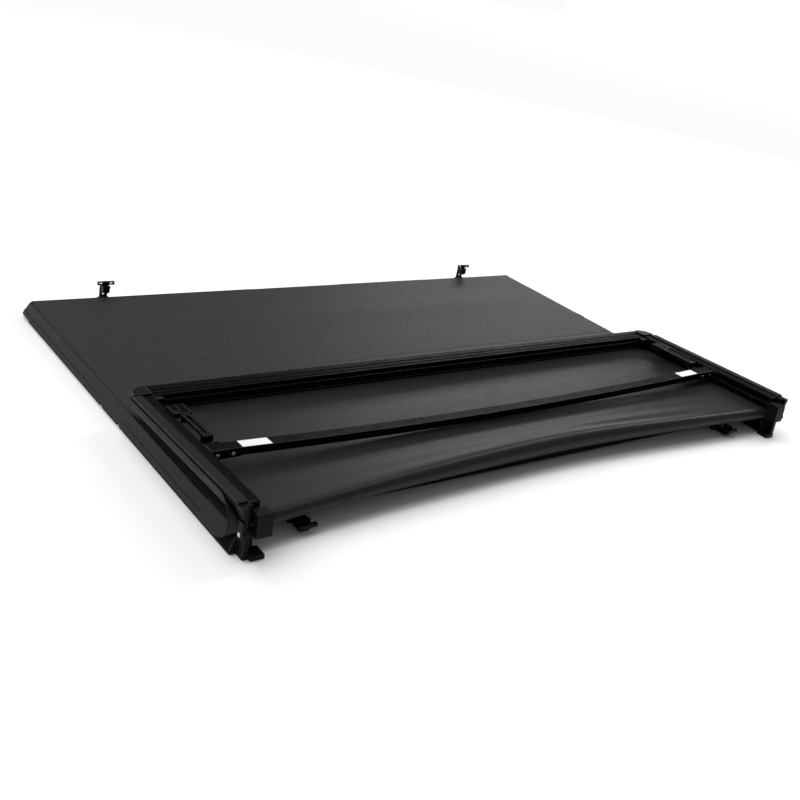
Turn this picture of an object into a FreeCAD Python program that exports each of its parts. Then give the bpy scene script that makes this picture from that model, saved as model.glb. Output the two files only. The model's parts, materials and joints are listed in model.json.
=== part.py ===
"""Soft tri-fold truck bed cover, with its tail panel folded over the middle one.

Every panel is laid out flat first: X across the truck, Y towards the cab, and
Z up with the face of the vinyl at zero. The tail panel is then turned about
its hinge onto the middle panel, and everything is moved to the row's origin.
"""
import FreeCAD, Part
import math
import os

Vec = FreeCAD.Vector
X_AXIS = Vec(1, 0, 0)
Y_AXIS = Vec(0, 1, 0)
Z_AXIS = Vec(0, 0, 1)
SIDES = (("left", -1), ("right", 1))

# Driving dimensions, mm.
TOP_HALF = 740.0          # half the width of the vinyl's face
HEM_FLARE = 12.0          # how far the hem leans out
HEM_DROP = 30.0           # how far the hem comes down
VINYL = 1.5
RAIL_DEPTH = 35.0         # vinyl face to the underside of a rail
SEAL = 4.0
RAIL_WIDTH = 40.0
WALL = 2.5
FOLD_GAP = 26.0           # between the two vinyl faces of the folded pair
CORNER_R = 39.0           # tail corners, at the foot of the hem
BOW_CROWN = 16.0
FOLD_TILT = 1.8           # degrees, how far the folded tail leans past flat

# Places along Y in the flat layout, mm.
CAB_END = 1064.0
HINGE_A_Y = 592.0         # cab panel to fold link
HINGE_B_Y = 504.0         # fold link to middle panel
HINGE_C_Y = 14.0          # middle panel to tail panel
MIDDLE_FRONT = 24.0
TAIL_END = -454.0
HINGE_DEPTH = 6.5         # link hinge axes, below the vinyl face
HINGE_C_Z = FOLD_GAP / 2
PIN_R = 2.5
KNUCKLE_R = 4.5
RUN = 0.05                # running clearance of a pin, on the radius
END_BACK = 5.0            # rail ends stand this far back from a link axis
SKIN_BACK = 7.0           # vinyl ends stand this far back from a link axis
BODY_GAP = 0.5

RAIL_OUT = TOP_HALF + HEM_FLARE - 1.6
RAIL_IN = TOP_HALF + HEM_FLARE - 2 - RAIL_WIDTH
HINGE_IN = RAIL_OUT - 51.4  # inner face of the fold hinge's blocks
FLOOR = -RAIL_DEPTH - SEAL
LINK_FRONT = HINGE_B_Y + END_BACK
LINK_BACK = HINGE_A_Y - END_BACK
CAB_FRONT = HINGE_A_Y + END_BACK
MIDDLE_BACK = HINGE_B_Y - END_BACK
CAB_BOW_Y = 868.0
MIDDLE_BOW_Y = 262.0
TAIL_BOW_Y = -194.0
BOW_WIDTH = 26.0
BOW_DEPTH = 16.0
TAB = 3.0                 # thickness of a bow's end tab
PLUG = 12.0               # length of a rail's end plug outside the tube
FOLD_SKIN_END = 95.0      # where the vinyl's loop meets the flat skins
CAB_CLAMP_X = 560.0
MIDDLE_CLAMP_X = 600.0


def box(x0, x1, y0, y1, z0, z1):
    """Return a box between two corners, given in any order."""
    low = Vec(min(x0, x1), min(y0, y1), min(z0, z1))
    return Part.makeBox(abs(x1 - x0), abs(y1 - y0), abs(z1 - z0), low)


def rod(radius, start, axis, length):
    """Return a cylinder from a point along an axis."""
    return Part.makeCylinder(radius, length, Vec(*start), axis)


def extrude(points, along):
    """Return the prism of a closed outline."""
    corners = [Vec(*point) for point in points]
    return Part.Face(Part.makePolygon(corners + corners[:1])).extrude(along)


def mirrored(shape):
    """Return the shape and its twin on the other side of the YZ plane."""
    return [shape, shape.mirror(Vec(0, 0, 0), X_AXIS)]


def group(solids):
    """Return several solids as one compound."""
    return Part.makeCompound(list(solids))


def flip_side(shape, side):
    """Return a shape made for the right side, on the side asked for."""
    return shape if side > 0 else shape.mirror(Vec(0, 0, 0), X_AXIS)


# ---------------------------------------------------------------- rails

def rail_outline(inset=0.0):
    """Return the (across, height) corners of a rail, as for the right side."""
    lean = HEM_FLARE * (HEM_DROP - VINYL) / HEM_DROP
    top = -VINYL - inset
    foot = -RAIL_DEPTH + inset
    return [(RAIL_IN + inset, top), (RAIL_OUT - lean - inset, top),
            (RAIL_OUT - inset, -HEM_DROP), (RAIL_OUT - inset, foot),
            (RAIL_IN + inset, foot)]


def rail_grooves(length):
    """Return the fine grooves that run along the foot of a rail, at Y zero."""
    groove_width = 1.2
    groove_depth = 1.0
    pitch = 3.5
    first = RAIL_OUT - 22.0
    cuts = []
    for number in range(3):
        x = first - number * pitch
        cuts.append(box(x - groove_width, x, 0, length,
                        -RAIL_DEPTH, -RAIL_DEPTH + groove_depth))
    return cuts


def rail_along_y(y0, y1):
    """Return a hollow right-hand side rail between two places on Y."""
    length = y1 - y0
    outer = extrude([(x, 0, z) for x, z in rail_outline()], Y_AXIS * length)
    inner = extrude([(x, 0, z) for x, z in rail_outline(WALL)], Y_AXIS * length)
    clip_slot = box(RAIL_IN, RAIL_IN + 1.2, 0, length, -22, -16)
    rail = outer.cut([inner, clip_slot] + rail_grooves(length))
    rail.translate(Vec(0, y0, 0))
    return rail


def rail_along_x(half_length, edge_y, outward):
    """Return a hollow rail across the cover whose vinyl edge is at edge_y."""
    length = 2 * half_length
    solids = []
    for inset in (0.0, WALL):
        points = [(0, (x - TOP_HALF) * outward, z) for x, z in rail_outline(inset)]
        solids.append(extrude(points, X_AXIS * length))
    rail = solids[0].cut(solids[1])
    rail.translate(Vec(-half_length, edge_y, 0))
    return rail


def rear_rail_steps(half_length, edge_y):
    """Return the channels cut in the tail rail's underside, along X."""
    inner_y = edge_y + RAIL_WIDTH
    first = (inner_y - 24, inner_y - 14)
    second = (inner_y - 10, inner_y)
    return [box(-half_length, half_length, first[0], first[1],
                -RAIL_DEPTH, -RAIL_DEPTH + 1.8),
            box(-half_length, half_length, second[0], second[1],
                -RAIL_DEPTH, -RAIL_DEPTH + 1.8)]


def rear_rail_ribs(half_length, edge_y):
    """Return the two ribs along the inner wall of the tail's rear rail."""
    inner_y = edge_y + RAIL_WIDTH
    return [box(-half_length, half_length, inner_y - 0.5, inner_y + 2, z, z + 1.6)
            for z in (-22.0, -6.0)]


def seal_strip(y0, y1):
    """Return the ribbed seal under a right-hand side rail."""
    strip_in = RAIL_OUT - 18.4
    strip_out = RAIL_OUT - 0.4
    strip = box(strip_in, strip_out, y0, y1, FLOOR, -RAIL_DEPTH)
    ribs = 4
    pitch = (strip_out - strip_in) / (ribs + 1)
    cuts = []
    for number in range(1, ribs + 1):
        x = strip_in + number * pitch
        cuts.append(box(x - 0.6, x + 0.6, y0, y1, FLOOR, FLOOR + 0.9))
    return strip.cut(cuts)


def seal_across(half_length, y0, y1):
    """Return the plain seal under a rail that runs across the cover."""
    return box(-half_length, half_length, y0, y1, FLOOR, -RAIL_DEPTH)


# ---------------------------------------------------------------- vinyl

def edge_wire(y_open, y_edge, flare, z, inset, corner_radius):
    """Return a panel's outline at one height, open towards y_open."""
    outward = 1 if y_edge > y_open else -1
    half = TOP_HALF + flare - inset
    edge = y_edge + outward * (flare - inset)
    radius = corner_radius - HEM_FLARE + flare - inset
    if corner_radius == 0:
        corners = [Vec(-half, y_open, z), Vec(-half, edge, z),
                   Vec(half, edge, z), Vec(half, y_open, z)]
        return Part.makePolygon(corners + corners[:1])
    turn = edge - outward * radius
    bend = radius * math.sqrt(0.5)
    left = half - radius
    edges = [Part.LineSegment(Vec(-half, y_open, z), Vec(-half, turn, z)).toShape(),
             Part.Arc(Vec(-half, turn, z),
                      Vec(-left - bend, turn + outward * bend, z),
                      Vec(-left, edge, z)).toShape(),
             Part.LineSegment(Vec(-left, edge, z), Vec(left, edge, z)).toShape(),
             Part.Arc(Vec(left, edge, z),
                      Vec(left + bend, turn + outward * bend, z),
                      Vec(half, turn, z)).toShape(),
             Part.LineSegment(Vec(half, turn, z), Vec(half, y_open, z)).toShape(),
             Part.LineSegment(Vec(half, y_open, z), Vec(-half, y_open, z)).toShape()]
    return Part.Wire(edges)


def panel_prism(y_open, y_edge, inset, corner_radius, foot):
    """Return the leaning block inside a panel's hem, down to a given foot."""
    flare = HEM_FLARE * foot / HEM_DROP
    upper = edge_wire(y_open, y_edge, 0, 0, inset, corner_radius)
    lower = edge_wire(y_open, y_edge, flare, -foot, inset, corner_radius)
    return Part.makeLoft([upper, lower], True, True)


def hem(y_open, y_edge, corner_radius=0.0):
    """Return the vinyl that wraps down over the outside of the rails."""
    outer = panel_prism(y_open, y_edge, 0, corner_radius, HEM_DROP)
    inner = panel_prism(y_open, y_edge, VINYL, corner_radius, HEM_DROP)
    return outer.cut(inner)


def skin(y_open, y_edge, corner_radius=0.0):
    """Return the flat vinyl of a panel that ends in a hem."""
    inner = panel_prism(y_open, y_edge, VINYL, corner_radius, HEM_DROP)
    low, high = sorted((y_open, y_edge))
    reach = TOP_HALF + HEM_FLARE
    return inner.common(box(-reach, reach, low - reach, high + reach, -VINYL, 0))


def side_hem(y0, y1):
    """Return the two straight side hems of a panel with no outer end."""
    outline = [(TOP_HALF, y0, 0), (TOP_HALF + HEM_FLARE, y0, -HEM_DROP),
               (TOP_HALF + HEM_FLARE - VINYL, y0, -HEM_DROP),
               (TOP_HALF - VINYL, y0, 0)]
    return group(mirrored(extrude(outline, Y_AXIS * (y1 - y0))))


def flat_skin(y0, y1):
    """Return a flat vinyl sheet between two places on Y."""
    half = TOP_HALF - VINYL
    return box(-half, half, y0, y1, -VINYL, 0)


def fold_skin(y_end):
    """Return the loop of vinyl that joins the middle and tail panels."""
    half = HINGE_IN - 2
    centre_y = 45.0
    radius = HINGE_C_Z
    loop = rod(radius + VINYL, (-half, centre_y, HINGE_C_Z), X_AXIS, 2 * half)
    loop = loop.cut(rod(radius, (-half, centre_y, HINGE_C_Z), X_AXIS, 2 * half))
    behind = 2 * radius
    loop = loop.cut(box(-half, half, centre_y, centre_y + behind, -behind, 2 * behind))
    lower = box(-half, half, centre_y, y_end, -VINYL, 0)
    upper = box(-half, half, centre_y, y_end, FOLD_GAP, FOLD_GAP + VINYL)
    return loop.fuse([lower, upper]).removeSplitter()


# ---------------------------------------------------------------- bows

def bow(y, width):
    """Return a crowned, hollow crossbar that holds the vinyl up."""
    end = RAIL_IN - TAB
    top = -VINYL - BODY_GAP
    shapes = []
    for inset in (0.0, 2.0):
        high = top - inset
        low = top - BOW_DEPTH + inset
        edges = [Part.Arc(Vec(-end, 0, high - BOW_CROWN), Vec(0, 0, high),
                          Vec(end, 0, high - BOW_CROWN)).toShape(),
                 Part.LineSegment(Vec(end, 0, high - BOW_CROWN),
                                  Vec(end, 0, low - BOW_CROWN)).toShape(),
                 Part.Arc(Vec(end, 0, low - BOW_CROWN), Vec(0, 0, low),
                          Vec(-end, 0, low - BOW_CROWN)).toShape(),
                 Part.LineSegment(Vec(-end, 0, low - BOW_CROWN),
                                  Vec(-end, 0, high - BOW_CROWN)).toShape()]
        face = Part.Face(Part.Wire(edges))
        solid = face.extrude(Y_AXIS * (width - 2 * inset))
        solid.translate(Vec(0, y - width / 2 + inset, 0))
        shapes.append(solid)
    return shapes[0].cut(shapes[1])


def bow_bracket(y, width):
    """Return the right-hand bracket that ties a bow to its rail."""
    foot = -VINYL - BODY_GAP - BOW_CROWN - BOW_DEPTH
    near = y + width / 2
    plate = box(RAIL_IN - 62, RAIL_IN, near, near + 2.2, foot + 1, foot + 19)
    tab = box(RAIL_IN - TAB, RAIL_IN, y - width / 2 - 4, near + 12, foot + 1, foot + 19)
    return plate.fuse(tab).removeSplitter()


def bow_screws(y, width, side_of_bow):
    """Return the screw heads on one face of a bow, at both ends."""
    foot = -VINYL - BODY_GAP - BOW_CROWN - BOW_DEPTH
    face = y + side_of_bow * (width / 2 + 2.2)
    heads = []
    for inset in (16.0, 46.0):
        start = (RAIL_IN - inset, face, foot + 11)
        head = rod(3.6, start, Y_AXIS * side_of_bow, 2.0)
        heads.extend(mirrored(head))
    return group(heads)


# ---------------------------------------------------------------- link hinges

LUG_SPLIT = (RAIL_IN + 7, RAIL_IN + 16)     # the link's lug lies between these
LUG_OUT = RAIL_IN + 23

def knuckle(x0, x1, y, towards):
    """Return a pierced hinge lug with its neck, reaching along Y."""
    barrel = rod(KNUCKLE_R, (x0, y, -HINGE_DEPTH), X_AXIS, x1 - x0)
    neck = box(x0, x1, y, y + towards * (END_BACK + 3), -HINGE_DEPTH - KNUCKLE_R,
               -HINGE_DEPTH + 1)
    return barrel.fuse(neck)


def pin_hole(y, radius):
    """Return the cutter for a hinge pin on the right side."""
    return rod(radius, (RAIL_IN - 1, y, -HINGE_DEPTH), X_AXIS, RAIL_WIDTH + 2)


def end_plug(y_hinge, towards):
    """Return the right-hand rail end that carries the outer two lugs."""
    face = y_hinge + towards * END_BACK
    back = face + towards * PLUG
    outline = [(x, 0, z) for x, z in rail_outline()]
    block = extrude(outline, Y_AXIS * PLUG)
    block.translate(Vec(0, min(face, back), 0))
    lugs = [knuckle(RAIL_IN + 1, LUG_SPLIT[0], y_hinge, towards),
            knuckle(LUG_SPLIT[1], LUG_OUT, y_hinge, towards)]
    plug = block.fuse(lugs).removeSplitter()
    return plug.cut(pin_hole(y_hinge, PIN_R + RUN))


def link_arm():
    """Return the right-hand arm between the two link hinges."""
    outline = [(x, 0, z) for x, z in rail_outline()]
    block = extrude(outline, Y_AXIS * (LINK_BACK - LINK_FRONT))
    block.translate(Vec(0, LINK_FRONT, 0))
    lug_low = LUG_SPLIT[0] + BODY_GAP
    lug_high = LUG_SPLIT[1] - BODY_GAP
    lugs = [knuckle(lug_low, lug_high, HINGE_A_Y, -1),
            knuckle(lug_low, lug_high, HINGE_B_Y, 1)]
    holes = [pin_hole(HINGE_A_Y, PIN_R), pin_hole(HINGE_B_Y, PIN_R)]
    return block.fuse(lugs).removeSplitter().cut(holes)


def link_pins():
    """Return the four pins that are fixed in the link's arms."""
    pins = []
    for y in (HINGE_A_Y, HINGE_B_Y):
        pin = rod(PIN_R, (RAIL_IN + 0.5, y, -HINGE_DEPTH), X_AXIS, LUG_OUT - RAIL_IN)
        pins.extend(mirrored(pin))
    return group(pins)


# ---------------------------------------------------------------- fold hinge

FOLD_PIN_R = 4.0
EAR_R = 9.0
BLOCK_OUT = HINGE_IN + 28.5         # outer face of the tail's hinge block
MIDDLE_EAR = (HINGE_IN + 29.5, HINGE_IN + 39.5)
TAIL_EAR = (HINGE_IN + 40.1, HINGE_IN + 49)


def slice_of_rail(x0, x1, y0, y1):
    """Return a solid length of rail section, trimmed across to x0..x1."""
    block = extrude([(x, 0, z) for x, z in rail_outline()], Y_AXIS * (y1 - y0))
    block.translate(Vec(0, y0, 0))
    return block.common(box(x0, x1, y0, y1, -RAIL_DEPTH, 0))


def fold_ear_middle():
    """Return the right-hand hinge ear at the middle rail's front end."""
    foot = slice_of_rail(*MIDDLE_EAR, HINGE_C_Y - 1.5, MIDDLE_FRONT + 10)
    toe = box(HINGE_IN + 2, BLOCK_OUT, HINGE_C_Y - 9, MIDDLE_FRONT + 10,
              FLOOR + 1, -RAIL_DEPTH + 5)
    heel = box(HINGE_IN + 2, MIDDLE_EAR[1], HINGE_C_Y - 1.5, MIDDLE_FRONT + 10,
               FLOOR + 1, -RAIL_DEPTH + 5)
    disc = rod(EAR_R, (MIDDLE_EAR[0], HINGE_C_Y, HINGE_C_Z), X_AXIS,
               MIDDLE_EAR[1] - MIDDLE_EAR[0])
    web = box(*MIDDLE_EAR, HINGE_C_Y - 1.5, HINGE_C_Y + 8, -5, HINGE_C_Z)
    cap = slice_of_rail(RAIL_IN, RAIL_OUT, MIDDLE_FRONT + 10, MIDDLE_FRONT + 14)
    ear = foot.fuse([toe, heel, disc, web, cap]).removeSplitter()
    return ear.cut(rod(FOLD_PIN_R, (RAIL_IN, HINGE_C_Y, HINGE_C_Z), X_AXIS, RAIL_WIDTH))


def fold_block_tail():
    """Return the right-hand hinge block of the tail panel, in the flat layout."""
    rail_end = 2 * HINGE_C_Y - MIDDLE_FRONT
    block = box(HINGE_IN, BLOCK_OUT, rail_end - 2, HINGE_C_Y + 18, -25, HINGE_C_Z + 5)
    edges = [edge for edge in block.Edges if abs(edge.BoundBox.XLength) > RAIL_WIDTH / 2]
    block = block.makeFillet(2.5, edges)
    nose = slice_of_rail(BLOCK_OUT + 1, TAIL_EAR[0], rail_end - 2, HINGE_C_Y - 2)
    cheek = slice_of_rail(TAIL_EAR[0], RAIL_OUT, rail_end - 2, HINGE_C_Y + 7)
    disc = rod(EAR_R, (TAIL_EAR[0], HINGE_C_Y, HINGE_C_Z), X_AXIS,
               TAIL_EAR[1] - TAIL_EAR[0])
    web = box(*TAIL_EAR, HINGE_C_Y - 7, HINGE_C_Y + 7, -9, HINGE_C_Z)
    cap = slice_of_rail(RAIL_IN, RAIL_OUT, rail_end - 6, rail_end - 2)
    tail = cap.fuse([block, nose, cheek, disc, web]).removeSplitter()
    hole = rod(FOLD_PIN_R + RUN, (TAIL_EAR[0] - 1, HINGE_C_Y, HINGE_C_Z), X_AXIS, RAIL_WIDTH)
    return tail.cut(hole)


def fold_pins():
    """Return the two pins that are fixed in the middle panel's ears."""
    length = TAIL_EAR[1] - MIDDLE_EAR[0] + 2
    return group(mirrored(rod(FOLD_PIN_R, (MIDDLE_EAR[0], HINGE_C_Y, HINGE_C_Z), X_AXIS, length)))


# ---------------------------------------------------------------- corners

def corner(y_edge, outward, corner_radius):
    """Return the right-hand corner casting between a side and an end rail."""
    y_open = y_edge - outward * 4 * RAIL_WIDTH
    lean = panel_prism(y_open, y_edge, VINYL + 0.1, corner_radius, HEM_DROP)
    foot_wire = edge_wire(y_open, y_edge, HEM_FLARE, -HEM_DROP, VINYL + 0.1, corner_radius)
    skirt = Part.Face(foot_wire).extrude(Z_AXIS * (HEM_DROP - RAIL_DEPTH))
    y_in = y_edge + outward * (HEM_FLARE - 2 - RAIL_WIDTH)
    reach = y_edge + outward * RAIL_WIDTH
    block = lean.fuse(skirt).common(box(RAIL_IN, 2 * TOP_HALF, y_in, reach, -RAIL_DEPTH, -VINYL))
    pad_wire = edge_wire(y_open, y_edge, HEM_FLARE, -RAIL_DEPTH, 6, corner_radius)
    pad = Part.Face(pad_wire).extrude(Z_AXIS * -SEAL)
    pad = pad.common(box(RAIL_IN, 2 * TOP_HALF, y_in, reach, FLOOR, 0))
    gusset = box(RAIL_IN - 18, RAIL_IN, y_in, y_in - outward * 14, -RAIL_DEPTH + 3, -14)
    return block.fuse([pad, gusset]).removeSplitter()


# ---------------------------------------------------------------- clamps

CLAMP_HALF = 9.0
CLAMP_PIN_R = 2.5
BARREL_R = 5.0
SCREW_R = 3.0
SCREW_LIFT = 12.0
ARM_T = 6.0
SHORT_REACH = 38.0
LONG_REACH = 100.0
JAW_TRAVEL = 12.0


def clamp_body(reach):
    """Return a clamp's slotted arm with its pivot barrel and end bracket.

    The pivot is the origin, the arm reaches along +Y and the jaws stand up.
    """
    barrel = rod(BARREL_R, (-CLAMP_HALF, 0, 0), X_AXIS, 2 * CLAMP_HALF)
    arm = box(-CLAMP_HALF, CLAMP_HALF, 0, reach, -ARM_T / 2, ARM_T / 2)
    bracket = box(-CLAMP_HALF, CLAMP_HALF, reach - 5, reach, -ARM_T / 2, SCREW_LIFT + 8)
    fixed_jaw = box(-CLAMP_HALF, CLAMP_HALF, BARREL_R, BARREL_R + 3, 0, SCREW_LIFT + 2)
    body = barrel.fuse([arm, bracket, fixed_jaw]).removeSplitter()
    slot = box(-3.2, 3.2, BARREL_R + 6, reach - 12, -ARM_T, ARM_T)
    pin_bore = rod(CLAMP_PIN_R + RUN, (-reach, 0, 0), X_AXIS, 2 * reach)
    thread = rod(SCREW_R + RUN, (0, reach - 10, SCREW_LIFT), Y_AXIS, 20)
    return body.cut([slot, pin_bore, thread])


def clamp_jaw(reach):
    """Return the block that slides on the clamp's screw, wound back."""
    block = box(-8, 8, reach - 16, reach - 6, ARM_T / 2 + BODY_GAP, SCREW_LIFT + 7)
    pad = box(-6, 6, reach - 18, reach - 16, ARM_T / 2 + 2, SCREW_LIFT + 5)
    return block.fuse(pad).removeSplitter().cut(
        rod(SCREW_R + RUN, (0, reach - 20, SCREW_LIFT), Y_AXIS, 20))


def clamp_knob(reach, half_span):
    """Return the screw with its hub and two hollow wings."""
    screw_back = 14.0
    screw = rod(SCREW_R, (0, reach - screw_back, SCREW_LIFT), Y_AXIS, screw_back + 6)
    hub = rod(5.5, (0, reach + 1.5, SCREW_LIFT), Y_AXIS, 9)
    wings = box(-half_span, half_span, reach + 3, reach + 11, SCREW_LIFT - 3, SCREW_LIFT + 3)
    knob = screw.fuse([hub, wings]).removeSplitter()
    window = box(8.5, half_span - 3, reach + 5, reach + 9, SCREW_LIFT - 6, SCREW_LIFT + 6)
    return knob.cut(mirrored(window))


def clevis(depth):
    """Return two cheeks and their pin, open towards +Y, for a clamp's pivot."""
    cheek = box(CLAMP_HALF + BODY_GAP, CLAMP_HALF + 4, -depth, BARREL_R - 1, -BARREL_R, BARREL_R)
    pin = rod(CLAMP_PIN_R, (-CLAMP_HALF - 2, 0, 0), X_AXIS, 2 * CLAMP_HALF + 4)
    return mirrored(cheek) + [pin]


def placed(shape, x, y, z, tilt):
    """Return a copy of a clamp part, tilted about X and moved to its pivot."""
    copy = shape.copy()
    copy.rotate(Vec(0, 0, 0), X_AXIS, tilt)
    copy.translate(Vec(x, y, z))
    return copy


# Pivot (x, y, z), arm tilt about X, reach and knob half span of each kind of
# clamp, for the right side. The tail's clamps are given in the flat layout.
CAB_PIVOT = (CAB_CLAMP_X, CAB_END + 20, -12.0)
MIDDLE_PIVOT = (MIDDLE_CLAMP_X, 86.0, FLOOR + 7)
TAIL_PIVOT = (RAIL_IN - 23, 2 * HINGE_C_Y - 358.0, -34.0)
CLAMPS = (("cab", CAB_PIVOT, 90, SHORT_REACH, 20.0),
          ("middle", MIDDLE_PIVOT, 180, SHORT_REACH, 17.5),
          ("tail", TAIL_PIVOT, 0, LONG_REACH, 19.0))


def turned_over(shape):
    """Return a clamp part with its jaws on the other face of its arm."""
    return shape.mirror(Vec(0, 0, 0), Z_AXIS)


def clamp_nodes():
    """Return each clamp's three parts by node name, in the flat layout."""
    nodes = {}
    for panel, pivot, tilt, reach, half_span in CLAMPS:
        parts = {"clamp_body": clamp_body(reach), "clamp_jaw": clamp_jaw(reach),
                 "clamp_knob": clamp_knob(reach, half_span)}
        for part_name, part in parts.items():
            if panel == "middle":
                part = turned_over(part)
            part = placed(part, *pivot, tilt)
            for side_name, side in SIDES:
                nodes[panel + "_" + part_name + "_" + side_name] = flip_side(part, side)
    return nodes


def cab_hangers():
    """Return the two brackets that carry the cab clamps."""
    x, y, z = CAB_PIVOT
    cheeks = [placed(part, x, y, z, 0) for part in clevis(7)]
    plate = box(x - 13, x + 13, y - 7.5, y - 5.5, FLOOR + 1, z + 3)
    tab = box(x - 13, x + 13, CAB_END - 16, y - 5.5, FLOOR + 1, -RAIL_DEPTH)
    return group(mirrored(cheeks[0].fuse(cheeks[1:] + [plate, tab]).removeSplitter()))


def middle_hangers():
    """Return the two brackets on the front bar that carry the clamps."""
    x, y, z = MIDDLE_PIVOT
    cheeks = [placed(part, x, y, z, 180) for part in clevis(8)]
    plate = box(x - 13, x + 13, y + 6, y + 8, z - BARREL_R, -4)
    return group(mirrored(cheeks[0].fuse(cheeks[1:] + [plate]).removeSplitter()))


def tail_trays():
    """Return the latticed trays on the tail rails that carry the clamps."""
    x, y, z = TAIL_PIVOT
    cheeks = [placed(part, x, y, z, 0) for part in clevis(9)]
    tray = box(x - 13, RAIL_IN, y - 34, y - 7, z - 5, z + 1)
    windows = []
    for column in range(2):
        for row in range(3):
            x0 = x - 9 + column * 15
            y0 = y - 32 + row * 8
            windows.append(box(x0, x0 + 12, y0, y0 + 5.5, z - 9, z + 9))
    arm = box(x + CLAMP_HALF + BODY_GAP, RAIL_IN, y - 10, y + 4, z - BARREL_R, z + BARREL_R)
    return group(mirrored(tray.cut(windows).fuse(cheeks + [arm]).removeSplitter()))


# ---------------------------------------------------------------- panels

def cab_nodes():
    """Return the nodes of the panel nearest the truck's cab."""
    corner_y = CAB_END + HEM_FLARE - 2 - RAIL_WIDTH
    rail = rail_along_y(CAB_FRONT + PLUG, corner_y)
    seal = seal_strip(CAB_FRONT + 2, corner_y - 2)
    across = seal_across(RAIL_IN, corner_y + 2, corner_y + 12)
    return {
        "cab_rail_left": flip_side(rail, -1),
        "cab_rail_right": rail,
        "cab_front_rail": rail_along_x(RAIL_IN, CAB_END, 1),
        "cab_corners": group(mirrored(corner(CAB_END, 1, 0))),
        "cab_hinge_ends": group(mirrored(end_plug(HINGE_A_Y, 1))),
        "cab_seals": group(mirrored(seal) + [across]),
        "cab_skin": skin(HINGE_A_Y + SKIN_BACK, CAB_END),
        "cab_hem": hem(HINGE_A_Y + SKIN_BACK, CAB_END),
        "cab_bow": bow(CAB_BOW_Y, BOW_WIDTH),
        "cab_bow_screws": bow_screws(CAB_BOW_Y, BOW_WIDTH - 4.4, 1),
        "cab_clamp_hangers": cab_hangers(),
    }


def link_nodes():
    """Return the nodes of the narrow link between cab and middle panels."""
    arm = link_arm()
    seal = seal_strip(LINK_FRONT + 2, LINK_BACK - 2)
    return {
        "link_arm_left": flip_side(arm, -1),
        "link_arm_right": arm,
        "link_skin": flat_skin(HINGE_B_Y + SKIN_BACK, HINGE_A_Y - SKIN_BACK),
        "link_seals": group(mirrored(seal)),
        "link_hinge_pins": link_pins(),
    }


def middle_nodes():
    """Return the nodes of the middle panel."""
    rail = rail_along_y(MIDDLE_FRONT + 14, MIDDLE_BACK - PLUG)
    seal = seal_strip(MIDDLE_FRONT + 12, MIDDLE_BACK - 2)
    bar_front = MIDDLE_PIVOT[1] + 8
    end = RAIL_IN
    bar = box(-end, end, bar_front, bar_front + 20, -27, -3)
    bar = bar.cut(box(-end, end, bar_front + 2, bar_front + 18, -25, -5))
    return {
        "middle_rail_left": flip_side(rail, -1),
        "middle_rail_right": rail,
        "middle_front_bar": bar,
        "middle_hinge_ends": group(mirrored(end_plug(HINGE_B_Y, -1))),
        "middle_hinge_ears": group(mirrored(fold_ear_middle())),
        "fold_hinge_pins": fold_pins(),
        "middle_seals": group(mirrored(seal)),
        "middle_skin": flat_skin(FOLD_SKIN_END + BODY_GAP, HINGE_B_Y - SKIN_BACK),
        "middle_hem": side_hem(FOLD_SKIN_END + BODY_GAP, HINGE_B_Y - SKIN_BACK),
        "fold_skin": fold_skin(FOLD_SKIN_END),
        "middle_bow": bow(MIDDLE_BOW_Y, BOW_WIDTH),
        "middle_bow_screws": bow_screws(MIDDLE_BOW_Y, BOW_WIDTH - 4.4, 1),
        "middle_clamp_hangers": middle_hangers(),
    }


def labels(tail_bow):
    """Return the two blank labels that lie on the tail bow's underside."""
    length = 60.0
    outer_end = 644.0
    thickness = 0.4
    patch = box(outer_end - length, outer_end, TAIL_BOW_Y - BOW_WIDTH / 2 + 1,
                TAIL_BOW_Y + BOW_WIDTH / 2 - 1, -RAIL_DEPTH, -RAIL_DEPTH + 8)
    lowered = tail_bow.copy()
    lowered.translate(Vec(0, 0, -thickness))
    return group(mirrored(lowered.common(patch).cut(tail_bow)))


def tail_nodes():
    """Return the nodes of the tail panel, in the flat layout."""
    corner_y = TAIL_END - HEM_FLARE + 2 + RAIL_WIDTH
    rail_end = 2 * HINGE_C_Y - MIDDLE_FRONT
    skin_near = 2 * HINGE_C_Y - FOLD_SKIN_END - BODY_GAP
    rail = rail_along_y(corner_y, rail_end - 6)
    rear = rail_along_x(RAIL_IN, TAIL_END, -1)
    rear = rear.cut(rear_rail_steps(RAIL_IN, TAIL_END - HEM_FLARE + 2))
    rear = rear.fuse(rear_rail_ribs(RAIL_IN - 19, TAIL_END - HEM_FLARE + 2)).removeSplitter()
    tail_bow = bow(TAIL_BOW_Y, BOW_WIDTH)
    return {
        "tail_rail_left": flip_side(rail, -1),
        "tail_rail_right": rail,
        "tail_rear_rail": rear,
        "tail_corners": group(mirrored(corner(TAIL_END, -1, CORNER_R))),
        "tail_hinge_blocks": group(mirrored(fold_block_tail())),
        "tail_seals": group(mirrored(seal_strip(corner_y + 6, rail_end - 2))),
        "tail_skin": skin(skin_near, TAIL_END, CORNER_R),
        "tail_hem": hem(skin_near, TAIL_END, CORNER_R),
        "tail_bow": tail_bow,
        "tail_bow_brackets": group(mirrored(bow_bracket(TAIL_BOW_Y, BOW_WIDTH))),
        "tail_bow_screws": bow_screws(TAIL_BOW_Y, BOW_WIDTH, 1),
        "tail_labels": labels(tail_bow),
        "tail_clamp_trays": tail_trays(),
    }


def fold_tail(nodes):
    """Turn every tail node about the fold hinge, onto the middle panel."""
    for name, shape in nodes.items():
        if name.startswith("tail_"):
            shape.rotate(Vec(0, HINGE_C_Y, HINGE_C_Z), X_AXIS, 180 - FOLD_TILT)


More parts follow.
